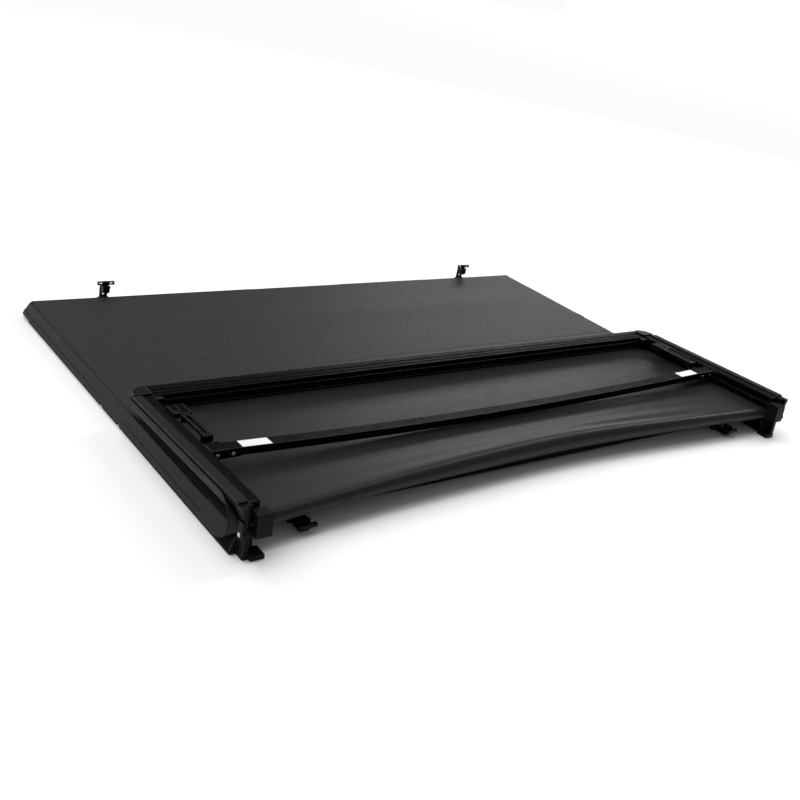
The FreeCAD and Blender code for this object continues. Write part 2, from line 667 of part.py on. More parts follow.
def row_origin(nodes):
    """Return the centre of the whole cover's base."""
    bounds = Part.makeCompound(list(nodes.values())).optimalBoundingBox(False)
    return Vec((bounds.XMin + bounds.XMax) / 2, (bounds.YMin + bounds.YMax) / 2, bounds.ZMin)


def main():
    """Build every node, fold the tail and write the files."""
    nodes = {}
    for part_nodes in (cab_nodes(), link_nodes(), middle_nodes(), tail_nodes(), clamp_nodes()):
        nodes.update(part_nodes)
    fold_tail(nodes)
    origin = row_origin(nodes)
    print("origin in the flat layout", origin.x, origin.y, origin.z)
    os.makedirs("parts", exist_ok=True)
    for name, shape in nodes.items():
        shape.translate(origin * -1)
        shape.exportStep("parts/" + name + ".step")
        print(name, shape.isValid(), len(shape.Solids), round(shape.Volume / 1000, 2))


main()
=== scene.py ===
"""Dresses the folding truck bed cover: vinyl, frames, hinges, clamps and studio."""
import json
import logging
import math
from dataclasses import dataclass, field
from enum import Enum
from typing import Callable, Iterable, List, Optional, Sequence, Tuple

import bmesh
import bpy
from mathutils import Matrix, Vector

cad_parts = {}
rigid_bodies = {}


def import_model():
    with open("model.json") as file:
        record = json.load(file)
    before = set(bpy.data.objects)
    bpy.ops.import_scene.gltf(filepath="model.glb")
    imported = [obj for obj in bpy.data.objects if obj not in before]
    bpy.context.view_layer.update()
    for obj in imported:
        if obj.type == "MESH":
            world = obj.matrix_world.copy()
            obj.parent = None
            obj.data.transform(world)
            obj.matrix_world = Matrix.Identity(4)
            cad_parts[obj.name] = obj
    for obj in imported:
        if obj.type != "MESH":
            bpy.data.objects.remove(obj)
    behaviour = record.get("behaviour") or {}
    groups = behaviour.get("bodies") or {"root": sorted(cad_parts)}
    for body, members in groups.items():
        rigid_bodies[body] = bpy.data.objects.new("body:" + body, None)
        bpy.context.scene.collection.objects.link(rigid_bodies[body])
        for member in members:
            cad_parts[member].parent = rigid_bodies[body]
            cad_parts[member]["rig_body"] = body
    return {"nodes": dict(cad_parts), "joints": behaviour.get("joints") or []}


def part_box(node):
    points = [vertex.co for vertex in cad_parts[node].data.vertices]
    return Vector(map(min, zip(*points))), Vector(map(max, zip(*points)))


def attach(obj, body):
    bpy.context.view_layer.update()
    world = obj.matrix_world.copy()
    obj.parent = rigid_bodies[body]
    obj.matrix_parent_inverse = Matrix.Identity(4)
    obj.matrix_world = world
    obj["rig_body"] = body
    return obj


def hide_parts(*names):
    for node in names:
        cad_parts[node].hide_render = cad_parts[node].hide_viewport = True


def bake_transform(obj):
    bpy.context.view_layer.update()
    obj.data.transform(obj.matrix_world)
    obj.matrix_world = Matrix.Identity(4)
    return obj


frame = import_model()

LOG = logging.getLogger("bed_cover")
MM = 0.001
HEM_FLARE = 12 * MM                 # how far the hem's foot stands out
FOLD_TILT = math.radians(1.8)       # how far the folded tail leans past level
LOOP_OVERLAP = 55 * MM              # the loop's reach past the middle skin's rear
SHARP_ANGLE = math.radians(50)      # shading breaks above this angle
MERGE_DISTANCE = 0.01 * MM          # vertices closer than this are one
FLAT_ANGLE = math.radians(1.0)      # faces closer than this are one face
STITCH_LINE = 0.72                  # the stitches' place down the hem, as a share
STITCH_LIFT = 0.3 * MM              # how far a stitch stands off the vinyl
STITCH_START = 14 * MM              # from a hinge to its first stitch
Point = Tuple[float, float, float]
Colour = Tuple[float, float, float, float]


class Body(Enum):
    """The moving bodies that the soft and trim pieces ride on."""

    CAB = "cab_panel"
    LINK = "fold_link"
    MIDDLE = "middle_panel"
    TAIL = "tail_panel"


class Grain(Enum):
    """How a surface's fine relief is made."""

    PEBBLE = "pebble"
    CLOTH = "cloth"
    CAST = "cast"
    POWDER = "powder"
    BRUSHED = "brushed"


def smooth(low: float, high: float, value: float) -> float:
    """Return the smooth step of a value between two limits.

    Args:
        low: where the step is 0.
        high: where the step is 1.
        value: the value to place.

    Returns:
        A number from 0 to 1.
    """
    t = min(1.0, max(0.0, (value - low) / (high - low)))
    return t * t * (3 - 2 * t)


def spread(low: float, high: float, count: int) -> List[float]:
    """Return evenly spaced values.

    Args:
        low: the first value.
        high: the last value.
        count: how many steps lie between them.

    Returns:
        count + 1 values.
    """
    return [low + (high - low) * step / count for step in range(count + 1)]


# ------------------------------------------------------------------ layout

@dataclass(frozen=True)
class Layout:
    """The cover's main sizes, in metres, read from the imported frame."""

    half: float
    flare: float
    face_z: float
    hem_z: float
    folded_z: float
    cab_end: float
    tail_end: float
    hinge_a: float
    hinge_b: float
    hinge_c: float
    hinge_z: float
    tilt: float
    loop_end: float
    tail_radius: float = 27 * MM

    @staticmethod
    def read() -> "Layout":
        """Return the layout that the CAD nodes and joints give."""
        hem_low, hem_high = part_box("cab_hem")
        tail_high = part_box("tail_hem")[1]
        skin_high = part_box("cab_skin")[1]
        flare = HEM_FLARE
        places = {joint["name"]: joint.get("pos_m") for joint in frame["joints"]}
        tilt = FOLD_TILT
        hinge_y, hinge_z = places["tail_fold"][1], places["tail_fold"][2]
        gap = 2 * (hinge_z - skin_high.z)
        foot = gap / 2 + skin_high.z - hem_low.z
        reach = (tail_high.y - hinge_y - foot * math.sin(tilt)) / math.cos(tilt)
        return Layout(
            half=hem_high.x - flare,
            flare=flare,
            face_z=skin_high.z,
            hem_z=hem_low.z,
            folded_z=skin_high.z + gap,
            cab_end=hem_high.y - flare,
            tail_end=hinge_y + reach - flare,
            hinge_a=places["link_fold"][1],
            hinge_b=places["middle_fold"][1],
            hinge_c=hinge_y,
            hinge_z=hinge_z,
            tilt=tilt,
            loop_end=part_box("middle_skin")[0].y + LOOP_OVERLAP,
        )

    @property
    def drop(self) -> float:
        """Return how far the hem comes down."""
        return self.face_z - self.hem_z

    def leaned(self, point: Point, share: float = 1.0) -> Point:
        """Return a point of the folded tail, leaned about its hinge.

        Args:
            point: the place when the panels lie parallel.
            share: how much of the lean to take.

        Returns:
            The place in the cover as it rests.
        """
        x, y, z = point
        turn = self.tilt * share
        run, rise = y - self.hinge_c, z - self.hinge_z
        return (x, self.hinge_c + run * math.cos(turn) + rise * math.sin(turn),
                self.hinge_z - run * math.sin(turn) + rise * math.cos(turn))


# --------------------------------------------------------------- materials

class NodeTree:
    """A thin helper that lays out a material's nodes."""

    def __init__(self, name: str) -> None:
        """Make a material with an empty node tree.

        Args:
            name: the material's name.
        """
        self.material = bpy.data.materials.new(name)
        self.material.use_nodes = True
        self.tree = self.material.node_tree
        self.tree.nodes.clear()
        self.output = self.tree.nodes.new("ShaderNodeOutputMaterial")
        self.shader = self.tree.nodes.new("ShaderNodeBsdfPrincipled")
        self.link(self.shader.outputs[0], self.output.inputs[0])
        self.coordinates = self.tree.nodes.new("ShaderNodeTexCoord").outputs["Object"]

    def link(self, source: bpy.types.NodeSocket, target: bpy.types.NodeSocket) -> None:
        """Join two sockets."""
        self.tree.links.new(source, target)

    def stretched(self, scale: Point) -> bpy.types.NodeSocket:
        """Return Object coordinates scaled along each axis."""
        mapping = self.tree.nodes.new("ShaderNodeMapping")
        mapping.inputs["Scale"].default_value = scale
        self.link(self.coordinates, mapping.inputs["Vector"])
        return mapping.outputs[0]

    def noise(self, scale: float, detail: float = 4.0, roughness: float = 0.55,
              vector: bpy.types.NodeSocket = None) -> bpy.types.NodeSocket:
        """Return a noise pattern's strength.

        Args:
            scale: repeats per metre.
            detail: octaves of finer pattern.
            roughness: how strong the finer octaves are.
            vector: the coordinates, or None for Object coordinates.

        Returns:
            The pattern's factor socket.
        """
        node = self.tree.nodes.new("ShaderNodeTexNoise")
        node.inputs["Scale"].default_value = scale
        node.inputs["Detail"].default_value = detail
        node.inputs["Roughness"].default_value = roughness
        self.link(vector or self.coordinates, node.inputs["Vector"])
        return node.outputs["Fac"]

    def cells(self, scale: float) -> bpy.types.NodeSocket:
        """Return the distance to the nearest cell centre."""
        node = self.tree.nodes.new("ShaderNodeTexVoronoi")
        node.inputs["Scale"].default_value = scale
        self.link(self.coordinates, node.inputs["Vector"])
        return node.outputs["Distance"]

    def waves(self, scale: float, vector: bpy.types.NodeSocket = None) -> bpy.types.NodeSocket:
        """Return a pattern of fine parallel threads."""
        node = self.tree.nodes.new("ShaderNodeTexWave")
        node.inputs["Scale"].default_value = scale
        node.inputs["Distortion"].default_value = 0.6
        self.link(vector or self.coordinates, node.inputs["Vector"])
        return node.outputs["Fac"]

    def ramp(self, source: bpy.types.NodeSocket, low: Tuple[float, Colour],
             high: Tuple[float, Colour]) -> bpy.types.NodeSocket:
        """Return a colour that runs between two stops.

        Args:
            source: the factor.
            low: place and colour of the first stop.
            high: place and colour of the last stop.

        Returns:
            The ramp's colour socket.
        """
        node = self.tree.nodes.new("ShaderNodeValToRGB")
        for element, (place, colour) in zip(node.color_ramp.elements, (low, high)):
            element.position = place
            element.color = colour
        self.link(source, node.inputs[0])
        return node.outputs[0]

    def between(self, source: bpy.types.NodeSocket, low: float, high: float) -> bpy.types.NodeSocket:
        """Return a factor mapped to run from low to high."""
        node = self.tree.nodes.new("ShaderNodeMapRange")
        node.inputs["From Min"].default_value = 0.3
        node.inputs["From Max"].default_value = 0.7
        node.inputs["To Min"].default_value = low
        node.inputs["To Max"].default_value = high
        self.link(source, node.inputs["Value"])
        return node.outputs[0]

    def bump(self, height: bpy.types.NodeSocket, strength: float, depth: float,
             below: bpy.types.NodeSocket = None) -> bpy.types.NodeSocket:
        """Return a normal raised by a height pattern.

        Args:
            height: the pattern.
            strength: from 0 to 1.
            depth: the relief's full depth in metres.
            below: another bump's normal, or None.

        Returns:
            The normal socket.
        """
        node = self.tree.nodes.new("ShaderNodeBump")
        node.inputs["Strength"].default_value = strength
        node.inputs["Distance"].default_value = depth
        self.link(height, node.inputs["Height"])
        if below is not None:
            self.link(below, node.inputs["Normal"])
        return node.outputs[0]


@dataclass(frozen=True)
class Finish:
    """One surface finish: its colour, gloss and relief."""

    name: str
    slot: str
    colour: Tuple[float, float, float]
    mottle: float
    roughness: Tuple[float, float]
    grain: Grain
    relief: float
    strength: float
    metallic: float = 0.0
    specular: float = 0.5
    sheen: float = 0.0
    patch_scale: float = 9.0

    def shade(self, factor: float) -> Colour:
        """Return the finish's colour made darker or lighter."""
        red, green, blue = (min(1.0, part * factor) for part in self.colour)
        return (red, green, blue, 1.0)

    def relief_of(self, nodes: NodeTree) -> bpy.types.NodeSocket:
        """Return the finish's normal.

        Args:
            nodes: the material's tree.

        Returns:
            The normal socket for the shader.
        """
        if self.grain is Grain.PEBBLE:
            soft = nodes.bump(nodes.noise(55.0, 2.0), self.strength * 0.6, self.relief * 2.2)
            return nodes.bump(nodes.cells(620.0), self.strength, self.relief, soft)
        if self.grain is Grain.CLOTH:
            soft = nodes.bump(nodes.noise(40.0, 2.0), self.strength * 0.5, self.relief * 2)
            across = nodes.waves(520.0, nodes.stretched((1.0, 0.0, 0.0)))
            along = nodes.waves(520.0, nodes.stretched((0.0, 1.0, 0.0)))
            weave = nodes.bump(across, self.strength, self.relief, soft)
            return nodes.bump(along, self.strength, self.relief, weave)
        if self.grain is Grain.BRUSHED:
            lines = nodes.noise(900.0, 2.0, 0.5, nodes.stretched((0.05, 1.0, 1.0)))
            return nodes.bump(lines, self.strength, self.relief)
        scale = 1400.0 if self.grain is Grain.POWDER else 700.0
        return nodes.bump(nodes.noise(scale, 3.0), self.strength, self.relief)

    def make(self) -> bpy.types.Material:
        """Return the procedural material of this finish."""
        nodes = NodeTree(self.name)
        patches = nodes.noise(self.patch_scale, 6.0, 0.62)
        colour = nodes.ramp(patches, (0.32, self.shade(1 - self.mottle)),
                            (0.68, self.shade(1 + self.mottle)))
        nodes.link(colour, nodes.shader.inputs["Base Color"])
        gloss = nodes.between(nodes.noise(self.patch_scale * 3.1, 5.0), *self.roughness)
        nodes.link(gloss, nodes.shader.inputs["Roughness"])
        nodes.link(self.relief_of(nodes), nodes.shader.inputs["Normal"])
        nodes.shader.inputs["Metallic"].default_value = self.metallic
        nodes.shader.inputs["Specular IOR Level"].default_value = self.specular
        nodes.shader.inputs["Sheen Weight"].default_value = self.sheen
        nodes.shader.inputs["Sheen Roughness"].default_value = 0.45
        return nodes.material


VINYL = Finish("grained_vinyl", "vinyl", (0.0150, 0.0155, 0.0168), 0.06, (0.44, 0.56),
               Grain.PEBBLE, 0.00022, 0.38, specular=0.16, sheen=0.02, patch_scale=24.0)
BACKING = Finish("vinyl_backing", "vinyl", (0.0120, 0.0125, 0.0140), 0.05, (0.34, 0.42),
                 Grain.CLOTH, 0.00008, 0.2, specular=0.12, sheen=0.02, patch_scale=20.0)
THREAD = Finish("hem_thread", "vinyl", (0.004, 0.004, 0.0045), 0.2, (0.5, 0.7),
                Grain.CLOTH, 0.00005, 0.3, specular=0.2)
POWDER_COAT = Finish("powder_coat", "frame_metal", (0.0016, 0.0016, 0.0019), 0.2, (0.34, 0.46),
                     Grain.POWDER, 0.00004, 0.25, specular=0.025)
# Edge finish for the frame's eased bevels: its colour, ten times lighter than the powder coat, paints
# thin edge highlights and also stands for rubbed wear.
EDGE_WEAR_AND_HIGHLIGHT_COAT = Finish("rubbed_coat", "frame_metal", (0.016, 0.016, 0.017), 0.3, (0.24, 0.36),
                     Grain.POWDER, 0.00004, 0.25, specular=0.5, patch_scale=22.0)
CASTING = Finish("hinge_casting", "hinge_casting", (0.0042, 0.0042, 0.0047), 0.25, (0.34, 0.5),
                 Grain.CAST, 0.00012, 0.45, specular=0.07)
# Edge finish for the castings', corners' and clamps' eased bevels: its lighter colour paints thin edge
# highlights and also stands for rubbed wear.
EDGE_WEAR_AND_HIGHLIGHT_CASTING = Finish("rubbed_casting", "hinge_casting", (0.012, 0.012, 0.013), 0.3, (0.24, 0.36),
                        Grain.CAST, 0.00006, 0.3, specular=0.5, patch_scale=30.0)
MOULDED = Finish("corner_plastic", "corner_plastic", (0.0048, 0.0048, 0.0052), 0.15, (0.34, 0.46),
                 Grain.CAST, 0.00006, 0.3, specular=0.06)
RUBBER = Finish("ribbed_rubber", "seal", (0.010, 0.010, 0.0115), 0.12, (0.36, 0.48),
                Grain.CAST, 0.00005, 0.25, specular=0.12)
CLAMP_METAL = Finish("clamp_metal", "clamp_metal", (0.0030, 0.0030, 0.0034), 0.2, (0.30, 0.44),
                     Grain.CAST, 0.00006, 0.3, specular=0.08)
KNOB_PLASTIC = Finish("knob_plastic", "knob_plastic", (0.0030, 0.0030, 0.0033), 0.15, (0.32, 0.45),
                      Grain.CAST, 0.00005, 0.3, specular=0.08)
STEEL = Finish("zinc_steel", "steel", (0.62, 0.61, 0.59), 0.10, (0.22, 0.36),
               Grain.BRUSHED, 0.00004, 0.3, metallic=1.0)
PAPER = Finish("blank_label", "label", (0.82, 0.82, 0.80), 0.02, (0.42, 0.5),
               Grain.POWDER, 0.00002, 0.15)


class Finishes:
    """Every finish's material, made once."""

    def __init__(self) -> None:
        """Start with no materials."""
        self.made = {}

    def get(self, finish: Finish) -> bpy.types.Material:
        """Return a finish's material, making it the first time."""
        if finish.name not in self.made:
            self.made[finish.name] = finish.make()
        return self.made[finish.name]


# -------------------------------------------------------------- mesh tools

def new_piece(name: str, mesh: bpy.types.Mesh,
              materials: Sequence[bpy.types.Material]) -> bpy.types.Object:
    """Return a linked object that holds a mesh and its materials.

    Args:
        name: the piece's name.
        mesh: its mesh.
        materials: its materials, in slot order.

    Returns:
        The new object.
    """
    piece = bpy.data.objects.new(name, mesh)
    bpy.context.scene.collection.objects.link(piece)
    mesh.materials.clear()
    for material in materials:
        mesh.materials.append(material)
    return piece


def bake(piece: bpy.types.Object) -> bpy.types.Object:
    """Apply a piece's modifiers into a plain mesh.

    Args:
        piece: the object to bake.

    Returns:
        The same object.
    """
    graph = bpy.context.evaluated_depsgraph_get()
    graph.update()
    mesh = bpy.data.meshes.new_from_object(piece.evaluated_get(graph))
    piece.modifiers.clear()
    old = piece.data
    piece.data = mesh
    mesh.name = piece.name
    bpy.data.meshes.remove(old)
    return piece


def smooth_shade(mesh: bpy.types.Mesh) -> None:
    """Shade every face of a mesh smooth."""
    mesh.polygons.foreach_set("use_smooth", [True] * len(mesh.polygons))


def thicken(piece: bpy.types.Object, thickness: float, back_slot: int) -> None:
    """Give a surface the vinyl's thickness, away from its face, and bake it.

    Args:
        piece: the surface.
        thickness: in metres.
        back_slot: how many slots further the back's material is.
    """
    solid = piece.modifiers.new("thickness", "SOLIDIFY")
    solid.thickness = thickness
    solid.offset = -1.0
    solid.use_even_offset = False
    solid.material_offset = back_slot
    solid.material_offset_rim = 0
    bake(piece)
    piece.data.set_sharp_from_angle(angle=SHARP_ANGLE)


# ----------------------------------------------------------------- the hem

@dataclass(frozen=True)
class HemProfile:
    """The way that the vinyl turns over the rail: (out, down) from the edge."""

    flare: float
    drop: float
    edge_radius: float = 4 * MM
    bead: float = 1.5 * MM

    def points(self) -> List[Tuple[float, float]]:
        """Return the profile from the flat face to the hem's bead."""
        radius = self.edge_radius
        steps = [(-radius, 0.0), (-radius * 0.55, 0.12 * radius), (-radius * 0.22, 0.42 * radius),
                 (radius * 0.06, 0.95 * radius)]
        straight = 7
        start_out, start_down = steps[-1]
        welt_down = self.drop - 5 * MM
        for step in range(1, straight + 1):
            share = step / straight
            down = start_down + (welt_down - start_down) * share
            out = start_out + (self.flare * welt_down / self.drop - start_out) * share
            steps.append((out, down))
        foot = self.flare * welt_down / self.drop
        bead = self.bead
        steps += [(foot + 0.15 * bead, welt_down + 0.5 * MM),
                  (foot + 0.9 * bead, welt_down + 1.3 * MM),
                  (self.flare + 0.55 * bead, self.drop - 1.6 * MM),
                  (self.flare + 0.3 * bead, self.drop - 0.3 * MM),
                  (self.flare - 0.7 * bead, self.drop + 0.4 * MM)]
        return steps

    def length(self) -> float:
        """Return the profile's length, beyond the panel's edge."""
        points = self.points()
        total = sum(math.dist(a, b) for a, b in zip(points, points[1:]))
        return total - self.edge_radius


# ------------------------------------------------------------ vinyl panels

@dataclass
class VinylPanel:
    """A panel's stretched vinyl: its face, rounded edges and hems.

    The face is laid on a grid whose outer corners are rounded, and the hem is
    carried round its edge. A panel with no outer end has hems at its sides only.
    """

    name: str
    layout: Layout
    start_y: float
    end_y: float
    corner_radius: float
    has_end: bool
    folded: bool
    relief: Callable[[float, float], float]
    columns: int = 120
    rows: int = 60
    thickness: float = 1.5 * MM
    vertices: List[Point] = field(default_factory=list)
    faces: List[Tuple[int, ...]] = field(default_factory=list)
    points_uv: List[Tuple[float, float]] = field(default_factory=list)

    @property
    def profile(self) -> HemProfile:
        """Return the profile of this panel's hem."""
        return HemProfile(self.layout.flare, self.layout.drop)

    def height(self, down: float) -> float:
        """Return the height of a place that is down from the vinyl's face."""
        if self.folded:
            return self.layout.folded_z + down
        return self.layout.face_z - down

    def rounded(self, x: float, y: float) -> Tuple[float, float, float, float]:
        """Return a grid place moved for the round corners, and its way out.

        Args:
            x: the place across, to the edge of the face.
            y: the place along.

        Returns:
            x, y, and the outward direction at the edge.
        """
        radius = self.corner_radius
        edge = self.layout.half
        side = math.copysign(1.0, x)
        dx = abs(x) - (edge - radius)
        dy = (y - (self.end_y - radius)) if self.has_end else -1.0
        if dx > 0 and dy > 0:
            reach = math.hypot(dx, dy)
            share = max(dx, dy) / reach
            return (side * (edge - radius + dx * share), self.end_y - radius + dy * share,
                    side * dx / reach, dy / reach)
        if dx > dy:
            return x, y, side, 0.0
        return x, y, 0.0, 1.0

    def lines(self) -> Tuple[List[float], List[float]]:
        """Return the grid's places across and along."""
        edge = self.layout.half
        radius = self.corner_radius
        fine = 8
        across = (spread(-edge, -edge + radius, fine)[:-1]
                  + spread(-edge + radius, edge - radius, self.columns)
                  + spread(edge - radius, edge, fine)[1:])
        if not self.has_end:
            return across, spread(self.start_y, self.end_y, self.rows)
        along = (spread(self.start_y, self.end_y - radius, self.rows)
                 + spread(self.end_y - radius, self.end_y, fine)[1:])
        return across, along

    def build_face(self) -> None:
        """Lay the face's grid and carry the hem round its edge."""
        across, along = self.lines()
        index = {}
        for j, y in enumerate(along):
            for i, x in enumerate(across):
                px, py, out_x, out_y = self.rounded(x, y)
                inset = self.profile.edge_radius
                near_edge = i in (0, len(across) - 1) or (self.has_end and j == len(along) - 1)
                if near_edge:
                    px -= out_x * inset
                    py -= out_y * inset
                index[i, j] = len(self.vertices)
                lift = self.relief(px, py)
                self.vertices.append((px, py, self.height(-lift)))
                self.points_uv.append((px, py))
        last_i, last_j = len(across) - 1, len(along) - 1
        for j in range(last_j):
            for i in range(last_i):
                quad = (index[i, j], index[i + 1, j], index[i + 1, j + 1], index[i, j + 1])
                self.faces.append(tuple(reversed(quad)) if self.folded else quad)
        left = [(0, j) for j in range(last_j + 1)]
        right = [(last_i, j) for j in range(last_j, -1, -1)]
        if self.has_end:
            top = [(i, last_j) for i in range(1, last_i)]
            self.carry_hem([index[key] for key in left + top + right],
                           [self.way_out(across[i], along[j]) for i, j in left + top + right])
            return
        self.carry_hem([index[key] for key in left], [(-1.0, 0.0)] * len(left))
        self.carry_hem([index[key] for key in right], [(1.0, 0.0)] * len(right))

    def way_out(self, x: float, y: float) -> Tuple[float, float]:
        """Return the outward direction at a place on the edge."""
        _, _, out_x, out_y = self.rounded(x, y)
        return out_x, out_y

    def carry_hem(self, edge: List[int], ways: Sequence[Tuple[float, float]]) -> None:
        """Carry the hem's profile along an edge of the face.

        Args:
            edge: the face's edge vertices, in order.
            ways: the outward direction at each.
        """
        profile = self.profile.points()
        inset = self.profile.edge_radius
        previous = edge
        run = 0.0
        for step, (out, down) in enumerate(profile[1:], start=1):
            run += math.dist(profile[step - 1], (out, down))
            ring = []
            for vertex, (out_x, out_y) in zip(edge, ways):
                x, y, z = self.vertices[vertex]
                fade = (z - self.height(0.0)) * max(0.0, 1 - down / (8 * MM))
                ring.append(len(self.vertices))
                self.vertices.append((x + out_x * (out + inset), y + out_y * (out + inset),
                                      self.height(down) + fade))
                self.points_uv.append((x + out_x * run, y + out_y * run))
            for k in range(len(edge) - 1):
                quad = (previous[k], previous[k + 1], ring[k + 1], ring[k])
                self.faces.append(tuple(reversed(quad)) if self.folded else quad)
            previous = ring

    def build(self, finishes: Finishes) -> bpy.types.Object:
        """Return the finished vinyl of this panel.

        Args:
            finishes: where the materials come from.

        Returns:
            The panel's piece, with its thickness.
        """
        self.build_face()
        if self.folded:
            self.vertices = [self.layout.leaned(point) for point in self.vertices]
        mesh = bpy.data.meshes.new(self.name)
        mesh.from_pydata(self.vertices, [], self.faces)
        add_uv(mesh, self.points_uv)
        piece = new_piece(self.name, mesh, [finishes.get(VINYL), finishes.get(BACKING)])
        face_up(piece, not self.folded)
        smooth_shade(piece.data)
        thicken(piece, self.thickness, 1)
        return piece

    def flat_size(self) -> Tuple[float, float]:
        """Return the width and length that the vinyl was cut to."""
        hem = self.profile.length()
        length = abs(self.end_y - self.start_y) + (hem if self.has_end else 0.0)
        return 2 * (self.layout.half + hem), length


def add_uv(mesh: bpy.types.Mesh, places: Sequence[Tuple[float, float]]) -> None:
    """Write a UV map, in metres, from one flat place for each vertex."""
    layer = mesh.uv_layers.new(name="cut")
    for loop in mesh.loops:
        layer.data[loop.index].uv = places[loop.vertex_index]


def face_up(piece: bpy.types.Object, upwards: bool) -> None:
    """Turn a surface's faces so that its flat part looks up or down.

    Args:
        piece: the surface.
        upwards: whether the face looks up.
    """
    total = sum(polygon.normal.z * polygon.area for polygon in piece.data.polygons)
    if (total > 0) != upwards:
        piece.data.flip_normals()


# --------------------------------------------------------------- the fold

@dataclass
class VinylFold:
    """The loose loop of vinyl that joins the middle and tail panels."""

    layout: Layout
    name: str = "fold_vinyl"
    thickness: float = 1.5 * MM
    side_front: float = 18 * MM
    centre_front: float = 58 * MM
    plump: float = 7 * MM
    around: int = 24
    along: int = 22

    def front(self, x: float) -> float:
        """Return the foremost Y of the fold, measured from the hinge axis."""
        share = min(1.0, abs(x) / (0.945 * self.layout.half))
        bow = (1 - share ** 2) ** 1.15
        wander = 1.6 * MM * math.sin(9.0 * x + 0.7) * bow
        return self.side_front + (self.centre_front - self.side_front) * bow + wander

    def radius(self, x: float) -> float:
        """Return the half height of the fold's nose."""
        gap = (self.layout.folded_z - self.layout.face_z) / 2
        share = smooth(0.0, 0.82 * self.layout.half, self.layout.half * 0.86 - abs(x))
        return gap + self.plump * share

    def column(self, x: float, hem: float) -> List[Point]:
        """Return one line of the fold, from the lower panel to the upper.

        Args:
            x: the place across.
            hem: 0 on the face, up to 1 at the foot of the hem.

        Returns:
            The points of the line.
        """
        layout = self.layout
        gap = (layout.folded_z - layout.face_z) / 2
        rest = gap + layout.drop * hem
        radius = max(self.radius(x) + layout.drop * hem, rest)
        nose = layout.hinge_c + self.front(x) + 15 * MM * hem
        centre = nose + radius
        lines = []
        for y in spread(layout.loop_end, centre, self.along)[:-1]:
            share = smooth(layout.loop_end, centre, y)
            half = rest + (radius - rest) * share
            lines.append((y, half))
        lower = [(x, y, layout.hinge_z - half) for y, half in lines]
        upper = [(x, y, layout.hinge_z + half + self.ripple(x, y, hem))
                 for y, half in reversed(lines)]
        tip = []
        for step in range(self.around):
            angle = math.pi * (step + 0.5) / self.around
            tip.append((x, centre - radius * math.sin(angle),
                        layout.hinge_z - radius * math.cos(angle)))
        return lower + tip + upper

    def ripple(self, x: float, y: float, hem: float) -> float:
        """Return the soft waves that lie along the fold's upper side."""
        layout = self.layout
        run = y - layout.hinge_c - self.front(x)
        back = smooth(55 * MM, 120 * MM, y - layout.hinge_c - 20 * MM)
        fade = smooth(8 * MM, 30 * MM, run) * (1 - back)
        centre = 1 - (abs(x) / layout.half) ** 2
        swell = 0.55 + 0.45 * math.sin(4.0 * x + 0.8)
        wave = 2.2 * MM * math.sin(run / (7.5 * MM) + 2.2 * x) * swell
        return wave * fade * centre * (1 - min(1.0, hem * 4))

    def stations(self) -> List[Tuple[float, float]]:
        """Return (x, hem) for every line, from the left hem to the right."""
        layout = self.layout
        profile = HemProfile(layout.flare, layout.drop).points()
        side = []
        for out, down in profile:
            side.append((layout.half + out, down / layout.drop))
        flat = [(x, 0.0) for x in spread(-layout.half + 4 * MM, layout.half - 4 * MM, 150)]
        left = [(-x, hem) for x, hem in reversed(side)]
        return left[:-1] + flat + side[1:]

    def build(self, finishes: Finishes) -> bpy.types.Object:
        """Return the finished fold, with its thickness.

        Args:
            finishes: where the materials come from.

        Returns:
            The fold's piece.
        """
        layout = self.layout
        half = layout.hinge_z - layout.face_z
        columns = [[layout.leaned(point, smooth(-half, half, point[2] - layout.hinge_z))
                    for point in self.column(x, hem)] for x, hem in self.stations()]
        rows = len(columns[0])
        vertices = [point for column in columns for point in column]
        faces = []
        for i in range(len(columns) - 1):
            for j in range(rows - 1):
                base = i * rows + j
                faces.append((base, base + 1, base + rows + 1, base + rows))
        places = self.flat_places(columns)
        mesh = bpy.data.meshes.new(self.name)
        mesh.from_pydata(vertices, [], faces)
        add_uv(mesh, places)
        piece = new_piece(self.name, mesh, [finishes.get(VINYL), finishes.get(BACKING)])
        lower = [p.normal.z for p in mesh.polygons if p.center.z < self.layout.face_z + 1 * MM]
        if sum(lower) < 0:
            mesh.flip_normals()
        smooth_shade(mesh)
        thicken(piece, self.thickness, 1)
        return piece

    @staticmethod
    def flat_places(columns: Sequence[Sequence[Point]]) -> List[Tuple[float, float]]:
        """Return each vertex's place on the flat cut."""
        places = []
        for column in columns:
            run = 0.0
            previous = column[0]
            for point in column:
                run += math.dist(previous, point)
                previous = point
                places.append((point[0], run))
        return places

    def area(self, piece: bpy.types.Object) -> float:
        """Return the area of one side of the fold."""
        return sum(polygon.area for polygon in piece.data.polygons) / 2


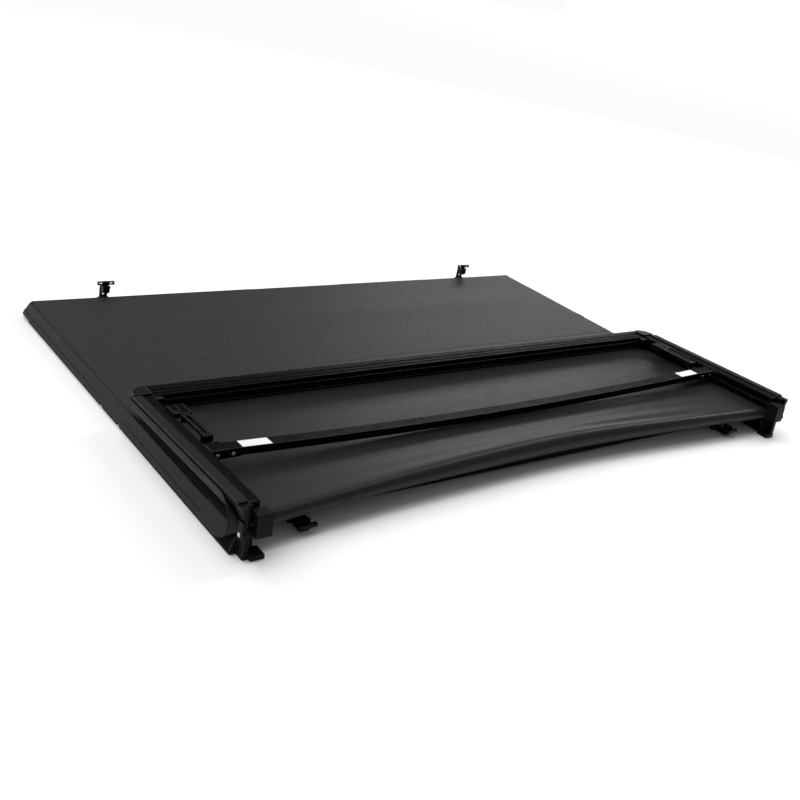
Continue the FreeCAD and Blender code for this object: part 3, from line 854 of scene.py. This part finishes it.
class Vinyl:
    """All the vinyl of the cover, laid as the cover rests."""

    def __init__(self, layout: Layout, finishes: Finishes) -> None:
        """Keep what the sheets need.

        Args:
            layout: the cover's sizes.
            finishes: where the materials come from.
        """
        self.layout = layout
        self.finishes = finishes
        self.split = (layout.hinge_a + layout.hinge_b) / 2
        self.cab_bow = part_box("cab_bow")
        self.tail_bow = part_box("tail_bow")

    def ridge(self, x: float, y: float, bow: Tuple[Vector, Vector]) -> float:
        """Return how far a bow lifts the vinyl at a place."""
        centre = (bow[0].y + bow[1].y) / 2
        crown = max(0.0, 1 - (abs(x) / self.layout.half) ** 2.2)
        return crown * math.exp(-((y - centre) / (62 * MM)) ** 2)

    def wander(self, x: float, y: float) -> float:
        """Return the slow unevenness of a stretched sheet."""
        edge = 1 - smooth(0.86, 1.0, abs(x) / self.layout.half)
        return edge * (math.sin(3.1 * x + 5.3 * y) + math.sin(7.9 * x - 4.1 * y + 1.2)) * 0.35 * MM

    def cab_relief(self, x: float, y: float) -> float:
        """Return the height of the cab panel's vinyl above its plane."""
        layout = self.layout
        edge = min(abs(layout.half - abs(x)), abs(layout.cab_end - y))
        inside = smooth(0.0, 90 * MM, edge)
        crease = -0.8 * MM * (math.exp(-((y - layout.hinge_a) / (5 * MM)) ** 2))
        lift = 3.4 * MM * self.ridge(x, y, self.cab_bow) * inside
        return lift + self.wander(x, y) * inside + crease

    def middle_relief(self, x: float, y: float) -> float:
        """Return the height of the middle panel's vinyl above its plane."""
        crease = -0.8 * MM * (math.exp(-((y - self.layout.hinge_b) / (5 * MM)) ** 2))
        return crease

    def tail_relief(self, x: float, y: float) -> float:
        """Return how far the tail's vinyl stands out from its plane."""
        layout = self.layout
        edge = min(abs(layout.half - abs(x)), abs(layout.tail_end - y))
        inside = smooth(30 * MM, 140 * MM, edge)
        sag = 2.6 * MM * inside * smooth(layout.loop_end, layout.loop_end + 60 * MM, y)
        return 2.2 * MM * self.ridge(x, y, self.tail_bow) * inside + sag

    def declare(self, piece: bpy.types.Object, flat: Tuple[float, float], nodes: Sequence[str]) -> None:
        """Hide the CAD nodes that a sheet replaces and log the size it was cut to.

        The declared area is half the finished mesh's, but never more than the
        whole cut: the panels' meshes are 1 to 2 % larger than their cuts.

        Args:
            piece: the sheet.
            flat: its width and length.
            nodes: the CAD nodes that it replaces.
        """
        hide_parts(*nodes)
        LOG.info("%s: cut %.3f x %.3f m", piece.name, *flat)

    def build(self) -> None:
        """Make the four sheets, hiding the CAD skins they replace; only the tail's sheet rides on its
        panel's body.
        """
        layout = self.layout
        cab = VinylPanel("cab_vinyl", layout, self.split, layout.cab_end, 9 * MM, True, False,
                         self.cab_relief, columns=110, rows=100)
        piece = cab.build(self.finishes)
        self.declare(piece, cab.flat_size(), ["cab_skin", "cab_hem", "link_skin"])
        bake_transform(piece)
        middle = VinylPanel("middle_vinyl", layout, layout.loop_end, self.split, 9 * MM, False, False,
                            self.middle_relief, columns=80, rows=90)
        piece = middle.build(self.finishes)
        self.declare(piece, middle.flat_size(), ["middle_skin", "middle_hem"])
        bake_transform(piece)
        tail = VinylPanel("tail_vinyl", layout, layout.loop_end, layout.tail_end,
                          layout.tail_radius, True, True, self.tail_relief, columns=120, rows=70)
        piece = tail.build(self.finishes)
        self.declare(piece, tail.flat_size(), ["tail_skin", "tail_hem"])
        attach(piece, Body.TAIL.value)
        fold = VinylFold(layout)
        piece = fold.build(self.finishes)
        area = fold.area(piece)
        width = 2 * (layout.half + HemProfile(layout.flare, layout.drop).length())
        # The loop's length is worked back from its own mesh, not from a known cut.
        self.declare(piece, (width, area / width * 1.0005), ["fold_skin"])
        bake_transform(piece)


# ------------------------------------------------------------- hard pieces

@dataclass(frozen=True)
class EdgeWork:
    """How a hard part's edges are eased."""

    width: float
    segments: int = 2
    angle: float = math.radians(28)
    # the bevel faces' finish, whose lighter colour paints edge highlights; None keeps the part's own
    # finish
    edge: Optional[Finish] = None


class HardParts:
    """Frames, hinges, clamps and trim, with eased edges and their finishes."""

    def __init__(self, finishes: Finishes) -> None:
        """Keep the materials."""
        self.finishes = finishes

    def ease(self, node: str, finish: Finish, work: EdgeWork) -> bpy.types.Object:
        """Return a copy of a node with eased edges, in its place.

        Args:
            node: the CAD node's name.
            finish: its finish.
            work: how its edges are eased.

        Returns:
            The new piece, riding on the node's body.
        """
        source = frame["nodes"][node]
        mesh = source.data.copy()
        shape = bmesh.new()
        shape.from_mesh(mesh)
        bmesh.ops.remove_doubles(shape, verts=shape.verts, dist=MERGE_DISTANCE)
        if not node.endswith("_bow"):
            bmesh.ops.dissolve_limit(shape, angle_limit=FLAT_ANGLE, verts=shape.verts,
                                     edges=shape.edges, delimit={"NORMAL"})
        bmesh.ops.recalc_face_normals(shape, faces=shape.faces)
        shape.to_mesh(mesh)
        shape.free()
        piece = new_piece(node + "_finished", mesh,
                          [self.finishes.get(finish), self.finishes.get(work.edge or finish)])
        smooth_shade(mesh)
        bevel = piece.modifiers.new("eased_edges", "BEVEL")
        bevel.width = work.width
        bevel.segments = work.segments
        bevel.limit_method = "ANGLE"
        bevel.angle_limit = work.angle
        bevel.use_clamp_overlap = True
        # The bevel faces take the second slot, whose lighter edge finish paints thin highlights along the
        # edges.
        bevel.material = 1
        weighted = piece.modifiers.new("face_normals", "WEIGHTED_NORMAL")
        weighted.keep_sharp = True
        bake(piece)
        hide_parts(node)
        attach(piece, source["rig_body"])
        LOG.info("%s: %d faces", piece.name, len(piece.data.polygons))
        return piece

    def dress(self, node: str, finish: Finish) -> None:
        """Give a CAD node its finish and leave its shape."""
        target = frame["nodes"][node]
        for slot in target.material_slots:
            slot.material = self.finishes.get(finish)
        if not target.material_slots:
            target.data.materials.append(self.finishes.get(finish))

    def build(self) -> None:
        """Finish every hard node of the cover."""
        small = EdgeWork(0.6 * MM, edge=EDGE_WEAR_AND_HIGHLIGHT_COAT)
        fine = EdgeWork(0.25 * MM, 1)
        broad = EdgeWork(1.4 * MM, 3, edge=EDGE_WEAR_AND_HIGHLIGHT_CASTING)
        rails = [name for name in frame["nodes"]
                 if "_rail" in name or name.endswith(("_bow", "_bar"))]
        for name in rails + ["link_arm_left", "link_arm_right", "tail_bow_brackets"]:
            self.ease(name, POWDER_COAT, small)
        for name in ("cab_hinge_ends", "middle_hinge_ends", "middle_hinge_ears", "tail_hinge_blocks"):
            self.ease(name, CASTING, broad)
        for name in ("cab_corners", "tail_corners"):
            self.ease(name, MOULDED, broad)
        for name in sorted(frame["nodes"]):
            if "clamp_knob" in name:
                self.ease(name, KNOB_PLASTIC, EdgeWork(0.8 * MM, 2))
            elif "clamp_" in name:
                self.ease(name, CLAMP_METAL, EdgeWork(0.7 * MM, 2, edge=EDGE_WEAR_AND_HIGHLIGHT_CASTING))
            elif name.endswith("_seals"):
                self.ease(name, RUBBER, fine)
            elif name.endswith(("_screws", "_pins")):
                self.ease(name, STEEL, EdgeWork(0.5 * MM, 2))
        self.dress("tail_labels", PAPER)


# ---------------------------------------------------------------- stitches

class HemStitches:
    """The row of stitches that holds each hem, made by a node tree."""

    def __init__(self, layout: Layout, finishes: Finishes) -> None:
        """Keep what the stitches need."""
        self.layout = layout
        self.finishes = finishes

    def tree(self) -> bpy.types.NodeTree:
        """Return the tree that sets stitches along a curve."""
        tree = bpy.data.node_groups.new("stitch_row", "GeometryNodeTree")
        tree.interface.new_socket("Geometry", in_out="INPUT", socket_type="NodeSocketGeometry")
        pitch = tree.interface.new_socket("Pitch", in_out="INPUT", socket_type="NodeSocketFloat")
        length = tree.interface.new_socket("Stitch length", in_out="INPUT", socket_type="NodeSocketFloat")
        width = tree.interface.new_socket("Thread", in_out="INPUT", socket_type="NodeSocketFloat")
        tree.interface.new_socket("Geometry", in_out="OUTPUT", socket_type="NodeSocketGeometry")
        pitch.default_value = 6 * MM
        length.default_value = 3.6 * MM
        width.default_value = 0.55 * MM
        add = tree.nodes.new
        start, end = add("NodeGroupInput"), add("NodeGroupOutput")
        points = add("GeometryNodeCurveToPoints")
        points.mode = "LENGTH"
        thread = add("GeometryNodeMeshCylinder")
        thread.inputs["Vertices"].default_value = 6
        place = add("GeometryNodeInstanceOnPoints")
        real = add("GeometryNodeRealizeInstances")
        colour = add("GeometryNodeSetMaterial")
        colour.inputs["Material"].default_value = self.finishes.get(THREAD)
        turn = add("FunctionNodeAlignRotationToVector")
        turn.axis = "Z"
        join = tree.links.new
        join(start.outputs["Geometry"], points.inputs["Curve"])
        join(start.outputs["Pitch"], points.inputs["Length"])
        join(start.outputs["Stitch length"], thread.inputs["Depth"])
        join(start.outputs["Thread"], thread.inputs["Radius"])
        join(points.outputs["Points"], place.inputs["Points"])
        join(points.outputs["Tangent"], turn.inputs["Vector"])
        join(turn.outputs["Rotation"], place.inputs["Rotation"])
        join(thread.outputs["Mesh"], place.inputs["Instance"])
        join(place.outputs[0], real.inputs[0])
        join(real.outputs[0], colour.inputs[0])
        join(colour.outputs[0], end.inputs[0])
        return tree

    def row(self, name: str, runs: Iterable[Sequence[Point]], body: Body,
            tree: bpy.types.NodeTree) -> bpy.types.Object:
        """Return the stitches along some runs.

        Args:
            name: the piece's name.
            runs: the lines that the stitches follow.
            body: what they ride on.
            tree: the stitching tree.

        Returns:
            The stitches as one mesh.
        """
        curve = bpy.data.curves.new(name + "_line", "CURVE")
        curve.dimensions = "3D"
        for run in runs:
            spline = curve.splines.new("POLY")
            spline.points.add(len(run) - 1)
            for point, place in zip(spline.points, run):
                point.co = (*place, 1.0)
        line = bpy.data.objects.new(name + "_line", curve)
        bpy.context.scene.collection.objects.link(line)
        modifier = line.modifiers.new("stitches", "NODES")
        modifier.node_group = tree
        graph = bpy.context.evaluated_depsgraph_get()
        graph.update()
        mesh = bpy.data.meshes.new_from_object(line.evaluated_get(graph))
        bpy.data.objects.remove(line)
        piece = bpy.data.objects.new(name, mesh)
        bpy.context.scene.collection.objects.link(piece)
        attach(piece, body.value)
        LOG.info("%s: %d faces", name, len(mesh.polygons))
        return piece

    def build(self) -> None:
        """Stitch the side hems of the cab and middle panels and the tail's."""
        layout = self.layout
        tree = self.tree()
        share = STITCH_LINE
        x = layout.half + layout.flare * share + STITCH_LIFT
        low = layout.face_z - layout.drop * share
        high = layout.folded_z + layout.drop * share
        cab_y = layout.cab_end + layout.flare * share + STITCH_LIFT
        start = layout.hinge_a + STITCH_START
        self.row("cab_stitches",
                 [[(-x, start, low), (-x, cab_y, low), (x, cab_y, low), (x, start, low)]],
                 Body.CAB, tree)
        ends = (layout.loop_end, layout.hinge_b - STITCH_START)
        self.row("middle_stitches", [[(side * x, ends[0], low), (side * x, ends[1], low)]
                                     for side in (-1, 1)], Body.MIDDLE, tree)
        turn = layout.tail_end - layout.tail_radius
        self.row("tail_stitches", [[layout.leaned((side * x, layout.loop_end, high)),
                                    layout.leaned((side * x, turn, high))]
                                   for side in (-1, 1)], Body.TAIL, tree)


# ------------------------------------------------------------------ studio

@dataclass(frozen=True)
class SoftBox:
    """A soft studio light."""

    name: str
    place: Point
    size: Tuple[float, float]
    power: float
    target: Point = (0.0, 0.0, 0.05)

    def build(self) -> None:
        """Hang the light and aim it."""
        data = bpy.data.lights.new(self.name, "AREA")
        data.shape = "RECTANGLE"
        data.size, data.size_y = self.size
        data.energy = self.power
        lamp = bpy.data.objects.new(self.name, data)
        lamp.location = self.place
        aim = Vector(self.target) - Vector(self.place)
        lamp.rotation_euler = aim.to_track_quat("-Z", "Y").to_euler()
        bpy.context.scene.collection.objects.link(lamp)


SENSOR_WIDTH = 36.0                 # in millimetres
FLOOR_REACH = 40.0
BACKDROP_PLACE = 14.0
BACKDROP_START = 3.0
BACKDROP_HEIGHT = 2.5
SKY_STRENGTH = 0.26
OVERHEAD_POWER = 2.7
OVERHEAD_SPREAD = math.radians(75)
OVERHEAD_WAY = (0.35, -0.45, -1.0)
SOFT_BOXES = (SoftBox("right_strip", (2.4, 0.1, 2.4), (0.5, 2.4), 33),
              SoftBox("back_light", (3.6, 3.6, 1.7), (2.2, 0.9), 24))


@dataclass(frozen=True)
class Studio:
    """A pale floor, soft lights and the camera."""

    azimuth: float = 42.263
    elevation: float = 20.528
    roll: float = 11.699
    place: Point = (-1.50828, -1.76304, 0.98081)
    lens: float = 46.989
    shift: Tuple[float, float] = (-0.0645, -0.0740)

    def build_camera(self) -> None:
        """Set the camera by its angles."""
        around, up = math.radians(self.azimuth), math.radians(self.elevation)
        ahead = Vector((math.sin(around) * math.cos(up),
                        math.cos(around) * math.cos(up), -math.sin(up)))
        level = ahead.cross(Vector((0, 0, 1))).normalized()
        above = level.cross(ahead)
        tilt = math.radians(self.roll)
        right = level * math.cos(tilt) + above * math.sin(tilt)
        top = right.cross(ahead)
        turn = Matrix((right, top, -ahead)).transposed().to_4x4()
        data = bpy.data.cameras.new("camera")
        data.lens = self.lens
        data.sensor_width = SENSOR_WIDTH
        data.shift_x, data.shift_y = self.shift
        data.clip_start = 0.01
        camera = bpy.data.objects.new("camera", data)
        camera.matrix_world = Matrix.Translation(self.place) @ turn
        bpy.context.scene.collection.objects.link(camera)
        bpy.context.scene.camera = camera

    def build_floor(self) -> None:
        """Lay a wide, pale floor and stand a bright backdrop behind it."""
        reach, wall, height = FLOOR_REACH, BACKDROP_PLACE, BACKDROP_HEIGHT
        nodes = NodeTree("floor_paint")
        nodes.shader.inputs["Base Color"].default_value = (0.95, 0.95, 0.95, 1)
        nodes.shader.inputs["Roughness"].default_value = 0.95
        nodes.shader.inputs["Specular IOR Level"].default_value = 0.0
        mesh = bpy.data.meshes.new("studio_floor")
        mesh.from_pydata([(-reach, -reach, 0), (reach, -reach, 0),
                          (reach, reach, 0), (-reach, reach, 0)],
                         [], [(0, 1, 2, 3)])
        new_piece("studio_floor", mesh, [nodes.material])
        nodes = NodeTree("backdrop_paint")
        nodes.shader.inputs["Base Color"].default_value = (0.9, 0.9, 0.9, 1)
        nodes.shader.inputs["Emission Color"].default_value = (1, 1, 1, 1)
        nodes.shader.inputs["Emission Strength"].default_value = 1.0
        mesh = bpy.data.meshes.new("studio_backdrop")
        mesh.from_pydata([(wall, BACKDROP_START, 0), (wall, wall, 0),
                          (wall, wall, height), (wall, BACKDROP_START, height)],
                         [], [(0, 1, 2, 3)])
        new_piece("studio_backdrop", mesh, [nodes.material])

    def build_sky(self) -> None:
        """Light the room evenly, with a broad overhead light."""
        world = bpy.data.worlds.new("studio_world")
        world.use_nodes = True
        back = world.node_tree.nodes["Background"]
        back.inputs[0].default_value = (1.0, 1.0, 1.0, 1)
        back.inputs[1].default_value = SKY_STRENGTH
        bpy.context.scene.world = world
        data = bpy.data.lights.new("overhead", "SUN")
        data.energy = OVERHEAD_POWER
        data.angle = OVERHEAD_SPREAD
        lamp = bpy.data.objects.new("overhead", data)
        lamp.rotation_euler = Vector(OVERHEAD_WAY).to_track_quat("-Z", "Y").to_euler()
        bpy.context.scene.collection.objects.link(lamp)

    def build(self) -> None:
        """Make the whole studio."""
        bpy.context.scene.view_settings.view_transform = "Standard"
        self.build_camera()
        self.build_floor()
        self.build_sky()
        for light in SOFT_BOXES:
            light.build()


def main() -> None:
    """Build the studio, the vinyl, the hard parts and the stitches."""
    logging.basicConfig(level=logging.INFO)
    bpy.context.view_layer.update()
    layout = Layout.read()
    finishes = Finishes()
    Studio().build()
    Vinyl(layout, finishes).build()
    HardParts(finishes).build()
    HemStitches(layout, finishes).build()


if __name__ == "__main__":
    main()
